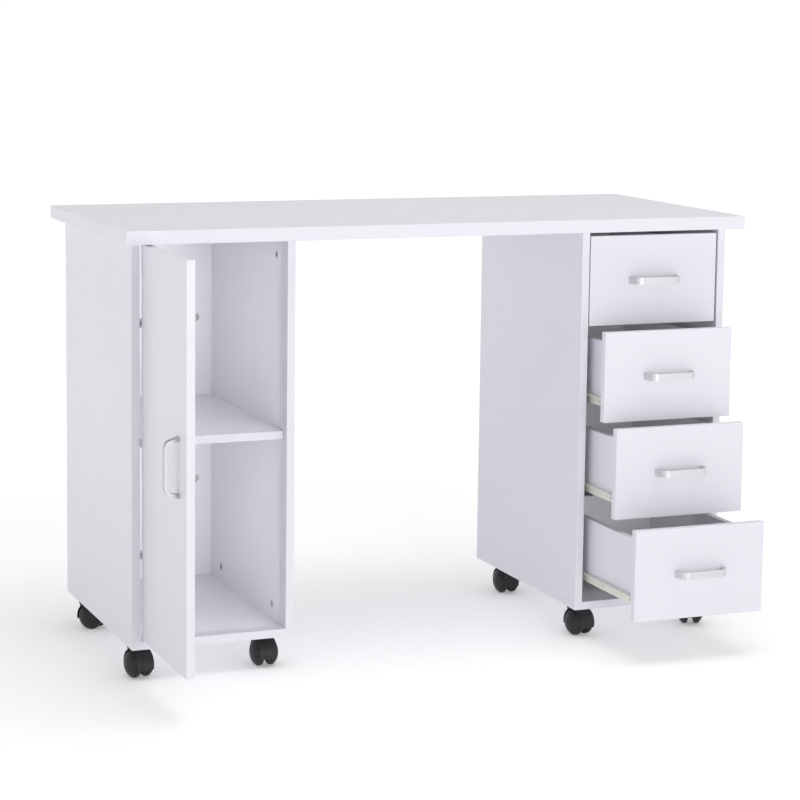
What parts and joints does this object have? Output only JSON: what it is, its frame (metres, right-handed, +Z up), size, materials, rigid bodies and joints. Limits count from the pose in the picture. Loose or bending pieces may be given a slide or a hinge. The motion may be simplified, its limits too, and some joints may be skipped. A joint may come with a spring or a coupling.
{
  "type": "sewing table",
  "caption": "Long white worktop on two castor cabinets, one with a hinged door and shelf, one with a stack of drawers with bow handles.",
  "frame": {"origin": "on the floor, midway across the worktop and halfway between the free edge of the open door and the worktop's back edge", "axes": "+X to the right as seen from the front, +Y to the back, +Z up"},
  "size_m": [1.2, 0.763, 0.801],
  "materials": {
    "white_melamine": "satin white melamine on particle board",
    "white_hardboard": "white lacquered hardboard",
    "beech": "plain fluted beech",
    "satin_metal": "satin silver",
    "white_steel": "cream white epoxy coat",
    "white_plastic": "white nylon",
    "zinc_steel": "bright zinc plate",
    "black_nylon": "satin black nylon"
  },
  "bodies": {
    "carcass": {"tabletop": "white_melamine", "left_outer_side": "white_melamine", "left_inner_side": "white_melamine", "left_bottom": "white_melamine", "left_back": "white_melamine", "left_shelf": "white_melamine", "right_inner_side": "white_melamine", "right_outer_side": "white_melamine", "right_bottom": "white_melamine", "right_back": "white_melamine", "cam_locks": "zinc_steel", "cam_bolts": "zinc_steel", "dowels": "beech", "shelf_pins": "zinc_steel", "hinge_arms": "zinc_steel", "cabinet_rails": "white_steel", "rail_rollers": "white_plastic", "caster_plates": "zinc_steel", "screws": "zinc_steel"},
    "door": {"door_panel": "white_melamine", "door_handle": "satin_metal", "hinge_cups": "zinc_steel"},
    "drawer_1": {"drawer_1_front": "white_melamine", "drawer_1_box": "white_melamine", "drawer_1_bottom": "white_hardboard", "drawer_1_runners": "white_steel", "drawer_1_handle": "satin_metal"},
    "drawer_2": {"drawer_2_front": "white_melamine", "drawer_2_box": "white_melamine", "drawer_2_bottom": "white_hardboard", "drawer_2_runners": "white_steel", "drawer_2_handle": "satin_metal"},
    "drawer_3": {"drawer_3_front": "white_melamine", "drawer_3_box": "white_melamine", "drawer_3_bottom": "white_hardboard", "drawer_3_runners": "white_steel", "drawer_3_handle": "satin_metal"},
    "drawer_4": {"drawer_4_front": "white_melamine", "drawer_4_box": "white_melamine", "drawer_4_bottom": "white_hardboard", "drawer_4_runners": "white_steel", "drawer_4_handle": "satin_metal"},
    "left_front_outer_swivel": {"left_front_outer_hood": "black_nylon"},
    "left_front_outer_wheel_pair": {"left_front_outer_wheels": "black_nylon"},
    "left_front_inner_swivel": {"left_front_inner_hood": "black_nylon"},
    "left_front_inner_wheel_pair": {"left_front_inner_wheels": "black_nylon"},
    "left_rear_outer_swivel": {"left_rear_outer_hood": "black_nylon"},
    "left_rear_outer_wheel_pair": {"left_rear_outer_wheels": "black_nylon"},
    "left_rear_inner_swivel": {"left_rear_inner_hood": "black_nylon"},
    "left_rear_inner_wheel_pair": {"left_rear_inner_wheels": "black_nylon"},
    "right_front_inner_swivel": {"right_front_inner_hood": "black_nylon"},
    "right_front_inner_wheel_pair": {"right_front_inner_wheels": "black_nylon"},
    "right_front_outer_swivel": {"right_front_outer_hood": "black_nylon"},
    "right_front_outer_wheel_pair": {"right_front_outer_wheels": "black_nylon"},
    "right_rear_inner_swivel": {"right_rear_inner_hood": "black_nylon"},
    "right_rear_inner_wheel_pair": {"right_rear_inner_wheels": "black_nylon"},
    "right_rear_outer_swivel": {"right_rear_outer_hood": "black_nylon"},
    "right_rear_outer_wheel_pair": {"right_rear_outer_wheels": "black_nylon"}
  },
  "joints": [
    {"name": "door_hinge", "type": "hinge", "parent": "carcass", "child": "door", "pos_m": [-0.562, -0.1175, 0.4245], "axis": [0, 0, 1], "range_deg": [-15, 90]},
    {"name": "drawer_1_slide", "type": "slide", "parent": "carcass", "child": "drawer_1", "axis": [0, -1, 0], "range_m": [0, 0.3]},
    {"name": "drawer_2_slide", "type": "slide", "parent": "carcass", "child": "drawer_2", "axis": [0, -1, 0], "range_m": [-0.069, 0.231]},
    {"name": "drawer_3_slide", "type": "slide", "parent": "carcass", "child": "drawer_3", "axis": [0, -1, 0], "range_m": [-0.123, 0.177]},
    {"name": "drawer_4_slide", "type": "slide", "parent": "carcass", "child": "drawer_4", "axis": [0, -1, 0], "range_m": [-0.208, 0.092]},
    {"name": "left_front_outer_swivel", "type": "hinge", "parent": "carcass", "child": "left_front_outer_swivel", "pos_m": [-0.563, -0.0615, 0.048], "axis": [0, 0, 1], "continuous": true},
    {"name": "left_front_outer_roll", "type": "hinge", "parent": "left_front_outer_swivel", "child": "left_front_outer_wheel_pair", "pos_m": [-0.5585, -0.08099, 0.025], "axis": [0.9744, 0.225, 0], "continuous": true},
    {"name": "left_front_inner_swivel", "type": "hinge", "parent": "carcass", "child": "left_front_inner_swivel", "pos_m": [-0.326, -0.0615, 0.048], "axis": [0, 0, 1], "continuous": true},
    {"name": "left_front_inner_roll", "type": "hinge", "parent": "left_front_inner_swivel", "child": "left_front_inner_wheel_pair", "pos_m": [-0.3253, -0.08149, 0.025], "axis": [0.9994, 0.0349, 0], "continuous": true},
    {"name": "left_rear_outer_swivel", "type": "hinge", "parent": "carcass", "child": "left_rear_outer_swivel", "pos_m": [-0.561, 0.2875, 0.048], "axis": [0, 0, 1], "continuous": true},
    {"name": "left_rear_outer_roll", "type": "hinge", "parent": "left_rear_outer_swivel", "child": "left_rear_outer_wheel_pair", "pos_m": [-0.54762, 0.27264, 0.025], "axis": [0.7431, 0.6691, 0], "continuous": true},
    {"name": "left_rear_inner_swivel", "type": "hinge", "parent": "carcass", "child": "left_rear_inner_swivel", "pos_m": [-0.326, 0.2875, 0.048], "axis": [0, 0, 1], "continuous": true},
    {"name": "left_rear_inner_roll", "type": "hinge", "parent": "left_rear_inner_swivel", "child": "left_rear_inner_wheel_pair", "pos_m": [-0.32253, 0.2678, 0.025], "axis": [0.9848, 0.1736, 0], "continuous": true},
    {"name": "right_front_inner_swivel", "type": "hinge", "parent": "carcass", "child": "right_front_inner_swivel", "pos_m": [0.306, -0.0575, 0.048], "axis": [0, 0, 1], "continuous": true},
    {"name": "right_front_inner_roll", "type": "hinge", "parent": "right_front_inner_swivel", "child": "right_front_inner_wheel_pair", "pos_m": [0.3105, -0.07699, 0.025], "axis": [0.9744, 0.225, 0], "continuous": true},
    {"name": "right_front_outer_swivel", "type": "hinge", "parent": "carcass", "child": "right_front_outer_swivel", "pos_m": [0.559, -0.0555, 0.048], "axis": [0, 0, 1], "continuous": true},
    {"name": "right_front_outer_roll", "type": "hinge", "parent": "right_front_outer_swivel", "child": "right_front_outer_wheel_pair", "pos_m": [0.55216, -0.07429, 0.025], "axis": [0.9397, -0.342, 0], "continuous": true},
    {"name": "right_rear_inner_swivel", "type": "hinge", "parent": "carcass", "child": "right_rear_inner_swivel", "pos_m": [0.314, 0.2905, 0.048], "axis": [0, 0, 1], "continuous": true},
    {"name": "right_rear_inner_roll", "type": "hinge", "parent": "right_rear_inner_swivel", "child": "right_rear_inner_wheel_pair", "pos_m": [0.31505, 0.27053, 0.025], "axis": [0.9986, 0.0523, 0], "continuous": true},
    {"name": "right_rear_outer_swivel", "type": "hinge", "parent": "carcass", "child": "right_rear_outer_swivel", "pos_m": [0.559, 0.2875, 0.048], "axis": [0, 0, 1], "continuous": true},
    {"name": "right_rear_outer_roll", "type": "hinge", "parent": "right_rear_outer_swivel", "child": "right_rear_outer_wheel_pair", "pos_m": [0.55484, 0.26794, 0.025], "axis": [0.9781, -0.2079, 0], "continuous": true}
  ]
}
